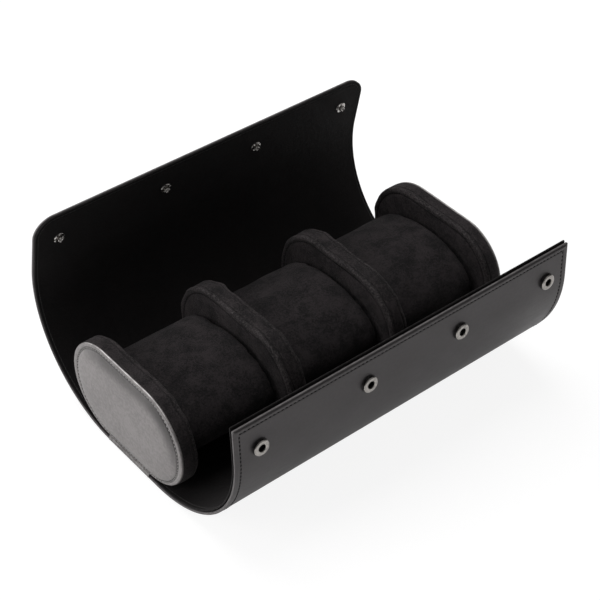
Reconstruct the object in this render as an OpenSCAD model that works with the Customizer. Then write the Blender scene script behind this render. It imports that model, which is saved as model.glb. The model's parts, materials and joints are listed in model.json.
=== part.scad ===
// Travel case for three watches: a leather roll with two end discs, two dividers and three cushions.
// X runs along the roll, Y to the rear, Z up. The origin is the middle of the flat underside.

/* [Case] */
// Length of the leather wall along the roll
case_length = 266; // [230:1:300]
// Half width of the base panel, from the middle to each first hinge line
base_half = 30; // [27:0.5:32]

/* [Wall layers] */
// Thickness of the outer leather
leather_t = 1.3; // [0.8:0.1:1.8]
// Thickness of the stiffening board
board_t = 1.3; // [0.8:0.1:1.8]
// Thickness of the suede lining
lining_t = 1; // [0.6:0.1:1.4]
// Slit between two panels at a hinge line
hinge_slit = 0.4; // [0.3:0.05:0.6]
// Run of one curved panel between two hinge lines, along the inner face
panel_run = 28; // [24:0.5:30]
// Run of the long third panel of the rear wall, along the inner face
rear_long_run = 44; // [38:0.5:46]

/* [Front wall] */
// Distance from the middle to where the front curve starts
front_flat = 30; // [28:0.5:36]
// Outer radius of the front curve
front_radius = 79; // [74:0.5:84]
// Angle through which the front curve turns
front_angle = 94; // [88:0.5:100]
// Straight stretch above the front curve
front_straight = 25.5; // [22:0.5:34]
// Rounding of the front flap's corners
front_corner_r = 2; // [1:0.5:8]

/* [Rear wall] */
// Distance from the middle to where the rear curve starts
rear_flat = 21.5; // [21.5:0.5:28]
// Outer radius of the rear curve
rear_radius = 78; // [74:0.5:84]
// Angle through which the rear curve turns
rear_angle = 100.5; // [94:0.5:106]
// Straight stretch above the rear curve
rear_straight = 41.5; // [34:0.5:46]
// Rounding of the rear flap's corners
rear_corner_r = 15; // [8:0.5:20]

/* [End discs] */
// Radius of the rounded ends of a disc
disc_radius = 36; // [32:0.5:38]
// Length of the straight stretch between a disc's rounded ends
disc_flat = 43; // [36:0.5:43]
// Thickness of an end disc with its covers
disc_t = 12.7; // [9:0.1:14]
// Distance of a disc's outer face inside the edge of the wall
disc_inset = 0; // [0:0.1:3]
// Thickness of the leather on a disc's outer face
face_t = 1.2; // [0.8:0.1:1.6]
// Width of the raised border round a disc's face
border_w = 4.5; // [3:0.25:6]
// Height of the raised border above the face
border_h = 0.5; // [0.2:0.1:0.6]

/* [Dividers] */
// Thickness of a divider with its covers
divider_t = 14; // [10:0.5:18]
// Thickness of the suede on discs, dividers and cushions
suede_t = 1; // [0.6:0.1:1.4]

/* [Cushions] */
// Half width of a cushion
cushion_half_w = 46.5; // [40:0.5:48]
// Half height of a cushion
cushion_half_h = 24.5; // [20:0.5:26]
// Distance of a cushion's middle below the middle of the discs
cushion_drop = 1.2; // [0:0.1:2]
// Clearance between a cushion's end and its neighbour
cushion_gap = 0.3; // [0.3:0.05:0.6]

/* [Snaps] */
// Distance of the outer pair of snaps from the middle of the case
snap_outer_x = 115; // [105:0.5:115]
// Distance of the inner pair of snaps from the middle of the case
snap_inner_x = 37; // [30:0.5:45]
// Shift of that inner pair to the right
snap_inner_shift = 3.5; // [-5:0.5:5]
// Distance of the sockets from the front flap's edge
socket_from_edge = 22; // [18:0.5:22]
// Distance of the studs from the rear flap's edge
stud_from_edge = 20.7; // [18:0.1:26]
// Outer radius of a socket
socket_r = 5.75; // [5:0.05:6.5]
// Radius of a socket's hole
socket_hole_r = 2.4; // [2.3:0.05:2.6]
// Height of a socket above the leather
socket_h = 2.4; // [2:0.1:2.8]
// Radius of the rolled head of a stud's post
stud_r = 2.05; // [1.95:0.05:2.1]
// Depth of the neck below that head
stud_neck = 0.25; // [0.15:0.05:0.25]
// Height of a stud's post above its flange
stud_h = 2.1; // [1.8:0.1:2.4]
// Radius of the flange of a stud or a socket's backing eyelet
flange_r = 4; // [3.6:0.1:4.6]
// Thickness of those flanges
flange_t = 0.5; // [0.3:0.05:0.7]
// Outer radius of the tube or shank that goes through the wall
shank_r = 1.6; // [1.4:0.05:1.65]
// Clearance of that tube or shank in the wall
shank_gap = 0.1; // [0.05:0.05:0.2]
// Radius of the cap on the outside of a stud
cap_r = 6; // [5:0.1:7]
// Height of that cap's dome
cap_h = 1.6; // [1.2:0.1:2.2]
// Thickness of the wall of a backing eyelet's tube
eyelet_t = 0.4; // [0.3:0.05:0.6]
// Thickness of the wire of the spring ring in a socket
spring_wire = 0.6; // [0.4:0.05:0.7]
// Thickness of the seat that a socket's eyelet is rolled into
seat_t = 0.3; // [0.2:0.05:0.4]

/* [Sewn tabs] */
// Thickness of the strip that ties a disc to the wall's edge
tab_t = 1; // [0.6:0.1:1.3]
// Height of its lower edge above what the case stands on
tab_lift = 0.5; // [0.2:0.1:1]

/* [Hidden] */
walls = ["front", "rear"];
layers = ["leather", "board", "lining"];
ends = ["left", "right"];
panels = [1:4];
cushions = [1:3];
dividers = [1:2];
WALL_NODES = [for (wall = walls, layer = layers, k = panels) str(wall, "_", layer, "_", k)];
BASE_NODES = [for (layer = layers) str("base_", layer)];
DISC_NODES = [for (end = ends, part = ["core", "face", "band", "inner"]) str(end, "_disc_", part)];
DIVIDER_NODES = [for (k = dividers, part = ["core", "band", "sides"]) str("divider_", k, "_", part)];
CUSHION_NODES = [for (k = cushions, part = ["foam", "sleeve", "ends"]) str("cushion_", k, "_", part)];
SNAP_NODES = ["snap_sockets", "snap_springs", "snap_eyelets", "snap_studs", "snap_caps"];
TAB_NODES = [for (end = ends) str(end, "_tab")];

$fn = 96;
wall_t = leather_t + board_t + lining_t;
disc_z = wall_t + disc_radius;
disc_outer_x = case_length / 2 - disc_inset;
disc_inner_x = disc_outer_x - disc_t;
compartment = (2 * disc_inner_x - 2 * divider_t) / 3;
pitch = compartment + divider_t;
cushion_z = disc_z - cushion_drop;
cushion_length = compartment - 2 * cushion_gap;
snap_xs = [-snap_outer_x, snap_inner_shift - snap_inner_x, snap_inner_shift + snap_inner_x, snap_outer_x];

// A wall is [side, end of the flat, inner radius, angle, straight, corner rounding, runs of its panels].
front = [-1, front_flat, front_radius - wall_t, front_angle, front_straight, front_corner_r,
    [panel_run, panel_run, panel_run]];
rear = [1, rear_flat, rear_radius - wall_t, rear_angle, rear_straight, rear_corner_r,
    [panel_run, panel_run, rear_long_run]];
wall_steps = 36; // facets in a wall's curve
oval_steps = 72; // facets round a cushion

// Run of the curve, and of the curve with the straight, along the wall's inner face
function curve_run(w) = w[2] * w[3] * PI / 180;
function full_run(w) = curve_run(w) + w[4];
// Angle of the wall at a run counted from where its curve starts
function wall_angle(w, run) = max(0, min(w[3], run / w[2] * 180 / PI));
// Point [y, z] of the wall at a run, a depth outward from its inner face
function wall_point(w, run, depth) =
    let (a = wall_angle(w, run), past = max(0, run - curve_run(w)), before = min(0, run))
    [w[0] * (w[1] + before + (w[2] + depth) * sin(a) + past * cos(a)),
        wall_t + w[2] - (w[2] + depth) * cos(a) + past * sin(a)];
// Run at which the wall's inner face is a distance from the middle of the case
function run_at(w, distance) =
    distance <= w[1] ? distance - w[1] : asin((distance - w[1]) / w[2]) * w[2] * PI / 180;
// Runs from one to another, with a stop at each facet of the curve
function stops(w, from, to) =
    concat([from], [for (k = [0:wall_steps]) let (run = k * curve_run(w) / wall_steps)
        if (run > from + 0.01 && run < to - 0.01) run], [to]);
function reversed(list) = [for (k = [len(list) - 1:-1:0]) list[k]];
function line(w, runs, depth) = [for (run = runs) wall_point(w, run, depth)];
// Run of the hinge line that starts panel k
function hinge_run(w, k) = run_at(w, base_half) + (k > 1 ? w[6][0] : 0) + (k > 2 ? w[6][1] : 0)
    + (k > 3 ? w[6][2] : 0);
function panel_start(w, k) = hinge_run(w, k) + hinge_slit / 2;
function panel_end(w, k) = k < 4 ? hinge_run(w, k + 1) - hinge_slit / 2 : full_run(w);
// Inner and outer depth of a layer, outward from the wall's inner face
function layer_depth(layer) =
    layer == "lining" ? [0, lining_t] :
    layer == "board" ? [lining_t, lining_t + board_t] : [lining_t + board_t, wall_t];
function wall_of(name) = name == "front" ? front : rear;
function end_side(end) = end == "left" ? -1 : 1;
function layer_colour(layer) =
    layer == "leather" ? [0.07, 0.07, 0.075] : layer == "board" ? [0.45, 0.36, 0.26] : [0.045, 0.04, 0.042];

// Stretches a [y, z] outline along the roll, over the length about x
module along_case(length, x = 0) {
    translate([x, 0, 0]) rotate([90, 0, 90]) linear_extrude(length, center = true) children();
}

// Places children on the wall at a run and depth, with their +Z pointing outward
module on_wall(w, run, depth, x = 0) {
    p = wall_point(w, run, depth);
    translate([x, p[0], p[1]]) rotate([-w[0] * (180 - wall_angle(w, run)), 0, 0]) children();
}

module base_layer(layer) {
    d = layer_depth(layer);
    to_front = stops(front, -front_flat / 2, hinge_run(front, 1) - hinge_slit / 2);
    to_rear = stops(rear, -rear_flat / 2, hinge_run(rear, 1) - hinge_slit / 2);
    color(layer_colour(layer)) along_case(case_length)
        polygon(concat(line(front, reversed(to_front), d[0]), line(rear, to_rear, d[0]),
            line(rear, reversed(to_rear), d[1]), line(front, to_front, d[1])));
}

// Cuts the flap's two corners round, and the holes for what goes through it
module flap_cuts(w, hole_run, hole_r) {
    r = w[5];
    reach = 4 * wall_t;
    for (end = [-1, 1])
        on_wall(w, full_run(w), wall_t / 2, end * case_length / 2)
            translate([-end * r, w[0] * r, 0]) difference() {
                translate([end * r, -w[0] * r, 0]) cube([2 * r, 2 * r, reach], center = true);
                cylinder(r = r, h = 2 * reach, center = true);
            }
    for (x = snap_xs)
        on_wall(w, hole_run, wall_t / 2, x) cylinder(r = hole_r, h = reach, center = true, $fn = 32);
}

module wall_panel(name, layer, k) {
    w = wall_of(name);
    d = layer_depth(layer);
    runs = stops(w, panel_start(w, k), panel_end(w, k));
    color(layer_colour(layer)) difference() {
        along_case(case_length) polygon(concat(line(w, runs, d[0]), line(w, reversed(runs), d[1])));
        if (k == 4) flap_cuts(w, snap_run(w), shank_r + shank_gap);
    }
}

// Run of the snaps on a flap
function snap_run(w) = full_run(w) - (w[0] < 0 ? socket_from_edge : stud_from_edge);

// Outline of a disc, taken in by a margin
module oval(margin = 0) {
    r = disc_radius - margin;
    for (side = [-1, 1]) translate([side * disc_flat / 2, disc_z]) circle(r);
    translate([0, disc_z]) square([disc_flat, 2 * r], center = true);
}

module oval_ring(outer_margin, inner_margin) {
    difference() {
        oval(outer_margin);
        oval(inner_margin);
    }
}

// A disc part at the left or right end, between two depths below the disc's outermost face. The leather face
// stands in from the suede band by the thickness of the tab, which passes below it.
module disc_part(end, part) {
    sign = end_side(end);
    face_in = border_h + face_t;
    depths = part == "face" ? [border_h, face_in] : part == "inner" ? [disc_t - suede_t, disc_t] :
        [face_in, disc_t - suede_t];
    middle = sign * (disc_outer_x - (depths[0] + depths[1]) / 2);
    tone = part == "face" ? [0.3, 0.29, 0.28] : part == "core" ? [0.45, 0.36, 0.26] : [0.06, 0.055, 0.058];
    color(tone) {
        along_case(depths[1] - depths[0], middle) {
            if (part == "band") oval_ring(0, suede_t);
            else if (part == "core") oval(suede_t);
            else oval(part == "face" ? tab_t : 0);
        }
        if (part == "face") along_case(border_h, sign * (disc_outer_x - border_h / 2))
            oval_ring(tab_t, tab_t + border_w);
    }
}

module divider_part(k, part) {
    x = (k - 1.5) * pitch;
    core_t = divider_t - 2 * suede_t;
    color(part == "core" ? [0.45, 0.36, 0.26] : [0.06, 0.055, 0.058]) {
        if (part == "core") along_case(core_t, x) oval(suede_t);
        if (part == "band") along_case(core_t, x) oval_ring(0, suede_t);
        if (part == "sides")
            for (side = [-1, 1]) along_case(suede_t, x + side * (divider_t - suede_t) / 2) oval();
    }
}

// Outline of a cushion, taken in by a margin
module cushion_oval(margin = 0) {
    translate([0, cushion_z]) polygon([for (k = [0:oval_steps - 1]) let (a = k * 360 / oval_steps)
        [(cushion_half_w - margin) * cos(a), (cushion_half_h - margin) * sin(a)]]);
}

module cushion_part(k, part) {
    x = (k - 2) * pitch;
    foam_length = cushion_length - 2 * suede_t;
    color(part == "foam" ? [0.8, 0.78, 0.7] : [0.05, 0.047, 0.05]) {
        if (part == "foam") along_case(foam_length, x) cushion_oval(suede_t);
        if (part == "sleeve") along_case(foam_length, x) difference() {
            cushion_oval();
            cushion_oval(suede_t);
        }
        if (part == "ends")
            for (side = [-1, 1])
                along_case(suede_t, x + side * (cushion_length - suede_t) / 2) cushion_oval();
    }
}

// Ring with a rounded shoulder and a groove inside for its spring
module socket() {
    shoulder = socket_h / 3;
    groove_r = socket_hole_r + 2 * spring_wire;
    groove_h = 1.6 * spring_wire;
    rotate_extrude($fn = 64) difference() {
        polygon([[shank_r, 0], [socket_r, 0], [socket_r, socket_h - shoulder],
            [socket_r - shoulder / 3, socket_h - shoulder / 3], [socket_r - shoulder, socket_h],
            [socket_hole_r + shoulder / 2, socket_h], [socket_hole_r, socket_h - shoulder / 2],
            [socket_hole_r, seat_t], [shank_r, seat_t]]);
        translate([shank_r, (socket_h - groove_h) / 2]) square([groove_r - shank_r, groove_h]);
    }
}

module spring_ring() {
    ring_r = socket_hole_r + 1.2 * spring_wire;
    translate([0, 0, socket_h / 2]) rotate_extrude($fn = 48)
        translate([ring_r, 0]) circle(spring_wire / 2, $fn = 16);
}

// Backing eyelet: a flange on the lining and a tube through the wall into the socket
module eyelet() {
    bore_r = shank_r - eyelet_t;
    rotate_extrude($fn = 48) polygon([[bore_r, -seat_t], [shank_r, -seat_t], [shank_r, wall_t],
        [flange_r, wall_t], [flange_r, wall_t + flange_t], [bore_r, wall_t + flange_t]]);
}

// Stud: a flange on the lining, and a post with a neck below its rolled head
module stud() {
    neck_r = stud_r - stud_neck;
    top = flange_t + stud_h;
    rotate_extrude($fn = 64) polygon([[shank_r, 0], [flange_r, 0], [flange_r, flange_t], [neck_r, flange_t],
        [neck_r, top - 4 * stud_neck], [stud_r, top - 3 * stud_neck], [stud_r, top - stud_neck],
        [neck_r, top], [0, top], [0, flange_t], [shank_r, flange_t]]);
}

// Cap: a low dome outside the wall, with a shank through the wall to the stud's flange
module cap() {
    dome_r = (cap_r * cap_r + cap_h * cap_h) / (2 * cap_h);
    half_angle = asin(cap_r / dome_r);
    rotate_extrude($fn = 64) polygon(concat([[0, 0], [cap_r, 0]],
        [for (a = [half_angle:-half_angle / 8:half_angle / 16])
            [dome_r * sin(a), cap_h - dome_r + dome_r * cos(a)]], [[0, cap_h]]));
    translate([0, 0, -wall_t - flange_t]) cylinder(r = shank_r, h = wall_t + flange_t, $fn = 32);
}

module snap_sockets() {
    for (x = snap_xs) color([0.35, 0.33, 0.31]) on_wall(front, snap_run(front), wall_t, x) socket();
}

module snap_springs() {
    for (x = snap_xs) color([0.6, 0.58, 0.55]) on_wall(front, snap_run(front), wall_t, x) spring_ring();
}

module snap_eyelets() {
    for (x = snap_xs)
        color([0.35, 0.33, 0.31]) on_wall(front, snap_run(front), wall_t, x) mirror([0, 0, 1]) eyelet();
}

module snap_studs() {
    for (x = snap_xs)
        color([0.5, 0.48, 0.46]) on_wall(rear, snap_run(rear), 0, x) mirror([0, 0, 1]) stud();
}

module snap_caps() {
    for (x = snap_xs) color([0.35, 0.33, 0.31]) on_wall(rear, snap_run(rear), wall_t, x) cap();
}

// Leather strip that ties a disc's straight bottom to the wall, one leaf down its edge and one in to the band
module tab(end) {
    sign = end_side(end);
    top = wall_t + tab_t;
    edge_x = case_length / 2;
    band_x = disc_outer_x - border_h - face_t;
    color([0.3, 0.29, 0.28]) {
        translate([sign * (edge_x + tab_t / 2), 0, (tab_lift + top) / 2])
            cube([tab_t, disc_flat, top - tab_lift], center = true);
        translate([sign * (edge_x + tab_t + band_x) / 2, 0, wall_t + tab_t / 2])
            cube([edge_x + tab_t - band_x, disc_flat, tab_t], center = true);
    }
}

for (layer = layers) base_layer(layer);
for (wall = walls, layer = layers, k = panels)
    wall_panel(wall, layer, k);
for (end = ends, part = ["core", "face", "band", "inner"])
    disc_part(end, part);
for (k = dividers, part = ["core", "band", "sides"])
    divider_part(k, part);
for (k = cushions, part = ["foam", "sleeve", "ends"])
    cushion_part(k, part);
snap_sockets();
snap_springs();
snap_eyelets();
snap_studs();
snap_caps();
for (end = ends) tab(end);
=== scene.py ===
import json
import math

import bmesh
import bpy
import numpy as np
from mathutils import Matrix, Vector


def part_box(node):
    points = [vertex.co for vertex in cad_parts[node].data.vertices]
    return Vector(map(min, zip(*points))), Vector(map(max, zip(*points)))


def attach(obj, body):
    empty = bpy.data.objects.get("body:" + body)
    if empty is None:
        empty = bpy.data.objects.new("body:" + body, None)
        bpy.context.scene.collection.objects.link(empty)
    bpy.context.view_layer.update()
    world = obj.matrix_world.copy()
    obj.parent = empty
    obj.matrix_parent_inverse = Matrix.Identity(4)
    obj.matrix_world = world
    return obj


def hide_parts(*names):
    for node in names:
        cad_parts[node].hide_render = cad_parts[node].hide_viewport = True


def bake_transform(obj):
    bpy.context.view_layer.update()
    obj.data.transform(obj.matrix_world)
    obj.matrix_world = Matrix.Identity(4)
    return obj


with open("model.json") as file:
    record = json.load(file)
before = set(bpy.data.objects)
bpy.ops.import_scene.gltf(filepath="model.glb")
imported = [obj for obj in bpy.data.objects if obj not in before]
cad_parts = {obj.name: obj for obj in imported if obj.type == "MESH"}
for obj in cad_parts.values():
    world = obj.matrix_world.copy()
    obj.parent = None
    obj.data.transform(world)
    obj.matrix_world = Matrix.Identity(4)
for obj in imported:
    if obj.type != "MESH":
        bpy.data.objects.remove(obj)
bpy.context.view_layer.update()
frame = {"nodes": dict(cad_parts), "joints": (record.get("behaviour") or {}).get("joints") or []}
mm = 0.001  # shapes are worked out in millimetres
tau = 2 * math.pi
print("frame loaded with", len(frame["nodes"]), "nodes")


def unit(value):
    # kept between 0 and 1
    return np.clip(value, 0, 1)


def boxOf(*nodes):
    # lowest and highest corner of some nodes together, in millimetres
    corners = np.array([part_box(node) for node in nodes]) / mm
    return corners[:, 0].min(0), corners[:, 1].max(0)


def gridFaces(rows, columns, closed=False):
    # quads of a grid of points; closed joins the last column to the first
    index = np.arange(rows * columns).reshape(rows, columns)
    if closed:
        index = np.concatenate([index, index[:, :1]], 1)
    a, b, c, d = index[:-1, :-1], index[:-1, 1:], index[1:, 1:], index[1:, :-1]
    return np.stack([a, b, c, d], -1).reshape(-1, 4)


def shellFaces(rows, columns):
    # an outer grid, an inner grid turned over, and a strip that joins their borders
    count = rows * columns
    outer = gridFaces(rows, columns)
    index = np.arange(count).reshape(rows, columns)
    rim = np.concatenate([index[0, :-1], index[:-1, -1], index[-1, :0:-1], index[:0:-1, 0]])
    after = np.roll(rim, -1)
    strip = np.stack([after, rim, rim + count, after + count], 1)
    return np.concatenate([outer, outer[:, ::-1] + count, strip])


def outwards(points, faces):
    # turns all faces round where their volume is negative
    corners = points[faces] - points.mean(0)
    a, b, c, d = (corners[:, k] for k in range(4))
    volume = sum(np.einsum("ij,ij->i", a, np.cross(p, q)).sum() for p, q in ((b, c), (c, d)))
    return faces if volume > 0 else faces[:, ::-1]


def newObject(name, data):
    made = bpy.data.objects.new(name, data)
    bpy.context.scene.collection.objects.link(made)
    return made


def makePiece(name, points, faces, uv=None, marks=None, poles=False, sharp=50):
    # points in millimetres; uv and marks hold one value per point; poles are rows that shrink to one point
    points = np.asarray(points, float).reshape(-1, 3)
    faces = outwards(points, np.asarray(faces))
    mesh = bpy.data.meshes.new(name)
    mesh.from_pydata((points * mm).tolist(), [], faces.tolist())
    if uv is not None:
        corner = np.empty(len(mesh.loops), np.int32)
        mesh.loops.foreach_get("vertex_index", corner)
        cut = (np.asarray(uv, float).reshape(-1, 2) * mm)[corner]
        mesh.uv_layers.new(name="cut").data.foreach_set("uv", cut.astype(np.float32).ravel())
    for mark, values in (marks or {}).items():
        attribute = mesh.attributes.new(mark, "FLOAT", "POINT")
        attribute.data.foreach_set("value", np.asarray(values, np.float32).ravel())
    mesh.update()
    piece = newObject(name, mesh)
    if poles:
        weld(mesh)
    mesh.shade_smooth()
    mesh.set_sharp_from_angle(angle=math.radians(sharp))
    return piece


def weld(mesh, distance=0.004):
    # merges the points that lie together at a pole
    shape = bmesh.new()
    shape.from_mesh(mesh)
    bmesh.ops.remove_doubles(shape, verts=shape.verts, dist=distance * mm)
    bmesh.ops.dissolve_degenerate(shape, edges=shape.edges, dist=distance * mm * 0.1)
    shape.to_mesh(mesh)
    shape.free()
    mesh.update()


def shellPiece(name, top, bottom, uv, rim, fold):
    # a closed sheet from its two faces, with the same cut and marks on both
    points = np.concatenate([top.reshape(-1, 3), bottom.reshape(-1, 3)])
    marks = {"rim": np.tile(rim.ravel(), 2), "fold": unit(np.tile(fold.ravel(), 2))}
    uv = np.tile(np.stack(uv, -1).reshape(-1, 2), (2, 1))
    return makePiece(name, points, shellFaces(*rim.shape), uv, marks)


def dress(piece, material, body=None, replaces=()):
    piece.data.materials.clear()
    piece.data.materials.append(material)
    if body:
        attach(piece, body)
    if replaces:
        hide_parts(*replaces)
    return piece


class Wire:
    # one output socket of a node, so that shader maths reads as sums
    def __init__(self, paint, socket):
        self.paint, self.socket = paint, socket

    def maths(self, operation, first, second):
        return self.paint.node("ShaderNodeMath", {"operation": operation}, {0: first, 1: second})

    def __add__(self, other):
        return self.maths("ADD", self, other)

    def __sub__(self, other):
        return self.maths("SUBTRACT", self, other)

    def __rsub__(self, other):
        return self.maths("SUBTRACT", other, self)

    def __mul__(self, other):
        return self.maths("MULTIPLY", self, other)

    __radd__, __rmul__ = __add__, __mul__

    def between(self, low, high):
        # 0 below low, 1 above high, eased in between
        return self.paint.node("ShaderNodeMapRange", {"interpolation_type": "SMOOTHSTEP"},
                               {"Value": self, "From Min": low, "From Max": high})


class Paint:
    # the nodes of a new material or world; node() makes one from its settings and sockets
    def __init__(self, owner):
        self.owner = owner
        owner.use_nodes = True
        owner.node_tree.nodes.clear()

    def node(self, kind, settings, sockets, output=0):
        tree = self.owner.node_tree
        made = tree.nodes.new(kind)
        for key, value in settings.items():
            setattr(made, key, value)
        for key, value in sockets.items():
            if isinstance(value, Wire):
                tree.links.new(value.socket, made.inputs[key])
            else:
                made.inputs[key].default_value = value
        return None if output is None else Wire(self, made.outputs[output])

    def cut(self):
        # the flat cut of the piece, in metres
        return self.node("ShaderNodeUVMap", {"uv_map": "cut"}, {})

    def place(self):
        return self.node("ShaderNodeTexCoord", {}, {}, "Object")

    def mark(self, name):
        return self.node("ShaderNodeAttribute", {"attribute_name": name}, {}, "Fac")

    def stretched(self, vector, factors):
        return self.node("ShaderNodeVectorMath", {"operation": "MULTIPLY"}, {0: vector, 1: factors})

    def noise(self, vector, scale, detail=3.0, roughness=0.5, distortion=0.0):
        return self.node("ShaderNodeTexNoise", {}, {"Vector": vector, "Scale": scale, "Detail": detail,
                                                    "Roughness": roughness, "Distortion": distortion})

    def mixed(self, factor, first, second):
        # colours go through a Mix node
        first, second = (shade if isinstance(shade, Wire) else (*shade, 1) for shade in (first, second))
        return self.node("ShaderNodeMix", {"data_type": "RGBA"}, {0: factor, 6: first, 7: second}, 2)

    def bumped(self, height, strength, distance):
        return self.node("ShaderNodeBump", {}, {"Height": height, "Strength": strength, "Distance": distance})

    def surface(self, sockets):
        return self.finished(self.node("ShaderNodeBsdfPrincipled", {}, sockets))

    def finished(self, shader, kind="ShaderNodeOutputMaterial"):
        self.node(kind, {}, {"Surface": shader}, None)
        return self.owner


# scales are per metre; pores is how much finer the pores are than the pebble
leatherGrain = {
    "pebble": (0.7, 1, 1), "pores": 2.4, "scratch": (90, 1400, 1), "cloud": 42, "mottle": 420, "worn": 210}
# rim paints the wall's edges lighter as a painted highlight, and fold paints its seams and crease darker as
# painted shade
leatherLook = {
    "tone": (0.0112, 0.0105, 0.0110), "light": (0.0205, 0.0192, 0.0198), "rim": (0.108, 0.102, 0.102),
    "fold": (0.0014, 0.0013, 0.0014), "rough": 0.48, "grain": 1000, "depth": 0.00006, "shine": 0.66,
    "tint": (1, 0.925, 0.935)}
# the discs' leather is the wall's black leather painted lighter grey, as painted light from the left; its rim
# is a near-white painted highlight and its fold a painted shade
litDiscLook = {
    "tone": (0.133, 0.123, 0.122), "light": (0.211, 0.197, 0.194), "rim": (0.80, 0.78, 0.77),
    "fold": (0.012, 0.011, 0.011), "rough": 0.44, "grain": 1300, "depth": 0.00004, "shine": 0.5,
    "tint": (1, 0.95, 0.95)}
# the tabs' leather is painted lighter grey in the same way, as painted light, with a painted highlight on its
# edges
litStripLook = {
    **litDiscLook, "tone": (0.085, 0.080, 0.079), "light": (0.27, 0.26, 0.255), "rim": (0.30, 0.29, 0.285),
    "rough": 0.6, "grain": 700, "depth": 0.0001, "shine": 0.4}


def makeLeather(name, look):
    # smooth leather: a fine pebble that runs a little longer along the roll, faint scratches, clouded colour,
    # painted shade in the folds and painted highlights along the edges, broken up by wear
    paint, grain = Paint(bpy.data.materials.new(name)), leatherGrain
    cut = paint.cut()
    pebble = paint.stretched(cut, grain["pebble"])
    pebble = paint.node("ShaderNodeTexVoronoi", {}, {"Vector": pebble, "Scale": look["grain"]})
    pores = paint.noise(cut, look["grain"] * grain["pores"], 2)
    scratch = paint.noise(paint.stretched(cut, grain["scratch"]), 1, 3, 0.6)
    cloud = paint.noise(cut, grain["cloud"], 4, 0.6)
    mottle = paint.noise(cut, grain["mottle"], 3, 0.7)
    # painted highlight along the edges and a band inside them, broken up by wear
    highlightAndWear = paint.mark("rim").between(0.5, 0.95) * paint.noise(cut, grain["worn"], 3).between(0.1, 0.75)
    # fold paints the seams, the crease and the disc face's hollow darker: painted shade
    fold = paint.mark("fold")
    amount = (cloud * 0.34 + scratch * 0.22 + mottle * 0.44).between(0.4, 0.61)
    tone = paint.mixed(highlightAndWear, paint.mixed(amount, look["tone"], look["light"]), look["rim"])
    height = pebble * 0.6 + pores * 0.3 + scratch * 0.35
    rough = look["rough"] + (cloud - 0.5) * 0.2 + (scratch - 0.5) * 0.22 + highlightAndWear * 0.2
    return paint.surface({"Base Color": paint.mixed(fold, tone, look["fold"]), "Roughness": rough,
                          "Specular IOR Level": look["shine"], "Specular Tint": (*look["tint"], 1),
                          "Normal": paint.bumped(height, 0.6, look["depth"])})


# seam paints the sewn lines darker as painted shade, and ridge paints the ridges lighter as painted highlight
suedeLook = {
    "tone": (0.0030, 0.0021, 0.0025), "light": (0.0278, 0.0225, 0.0237), "seam": (0.0022, 0.0018, 0.0019),
    "ridge": (0.062, 0.056, 0.056), "sheen": 0.03, "patch": 65, "clump": 330, "fleck": 860, "fuzz": 3200}
cushionLook = {
    "tone": (0.0013, 0.0008, 0.0011), "light": (0.0218, 0.0175, 0.0187), "patch": 85, "clump": 270}
# on the lining, seam is a paler line along the sewn seam and ridge a painted highlight on its edge
liningLook = {
    "tone": (0.0026, 0.0019, 0.0020), "light": (0.0066, 0.0050, 0.0052), "seam": (0.040, 0.038, 0.038),
    "ridge": (0.045, 0.042, 0.042), "sheen": 0.01, "patch": 28, "clump": 240, "fleck": 1000}


def makeSuede(name, look):
    # nap that lies in patches and clumps of a few millimetres, with single flecks that catch the light;
    # the mark "fold" is a sewn line, painted darker as painted shade on the suede, and the mark "rim" a
    # painted highlight along ridges
    paint, look = Paint(bpy.data.materials.new(name)), {**suedeLook, **look}
    place = paint.place()
    patch = paint.noise(place, look["patch"], 4, 0.55, 0.5)
    clump = paint.noise(place, look["clump"], 3, 0.65, 1.2)
    fleck = paint.noise(place, look["fleck"], 4, 0.9)
    fuzz = paint.noise(place, look["fuzz"], 2, 0.7)
    amount = (patch * 0.38 + clump * 0.33 + fleck * 0.76).between(0.615, 0.855)
    tone = paint.mixed(amount, look["tone"], look["light"])
    # painted highlight on the ridges, broken up by the flecks
    ridge = paint.mark("rim") * fleck.between(0.46, 0.62) * 0.8
    tone = paint.mixed(ridge, tone, look["ridge"])
    return paint.surface({"Base Color": paint.mixed(paint.mark("fold"), tone, look["seam"]),
                          "Roughness": 0.86 + (clump - 0.5) * 0.2, "Specular IOR Level": 0.22,
                          "Sheen Weight": look["sheen"], "Sheen Roughness": 0.45,
                          "Normal": paint.bumped(fuzz * 0.4 + fleck * 0.8 + clump, 0.9, 0.0005)})


def makeMetal(name, tone, rough, wear):
    # plated metal with hazy patches, worn to a share of its tone, and a fine ripple
    paint = Paint(bpy.data.materials.new(name))
    place = paint.place()
    haze = paint.noise(place, 700, 3)
    fine = paint.noise(place, 3500, 2)
    shade = paint.mixed(haze.between(0.35, 0.7), tone, tuple(channel * wear for channel in tone))
    return paint.surface({"Base Color": shade, "Metallic": 1.0, "Roughness": rough + (haze - 0.5) * 0.2,
                          "Normal": paint.bumped(fine, 0.25, 0.00004)})


def makeThread(name, dark, light):
    # twisted thread: light and dark ply in turn
    paint = Paint(bpy.data.materials.new(name))
    twist = paint.noise(paint.place(), 4200, 2)
    tone = paint.mixed(twist.between(0.35, 0.65), dark, light)
    return paint.surface({"Base Color": tone, "Roughness": 0.7, "Specular IOR Level": 0.15,
                          "Normal": paint.bumped(twist, 0.5, 0.0001)})


wallLeather = makeLeather("wallLeather", leatherLook)
litDiscLeather = makeLeather("litDiscLeather", litDiscLook)
litStripLeather = makeLeather("litStripLeather", litStripLook)
suede = makeSuede("suedeCover", suedeLook)
cushionSuede = makeSuede("cushionSuede", cushionLook)
liningSuede = makeSuede("liningSuede", liningLook)
snapMetal = makeMetal("snapMetal", tone=(0.36, 0.34, 0.32), rough=0.27, wear=0.72)
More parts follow.
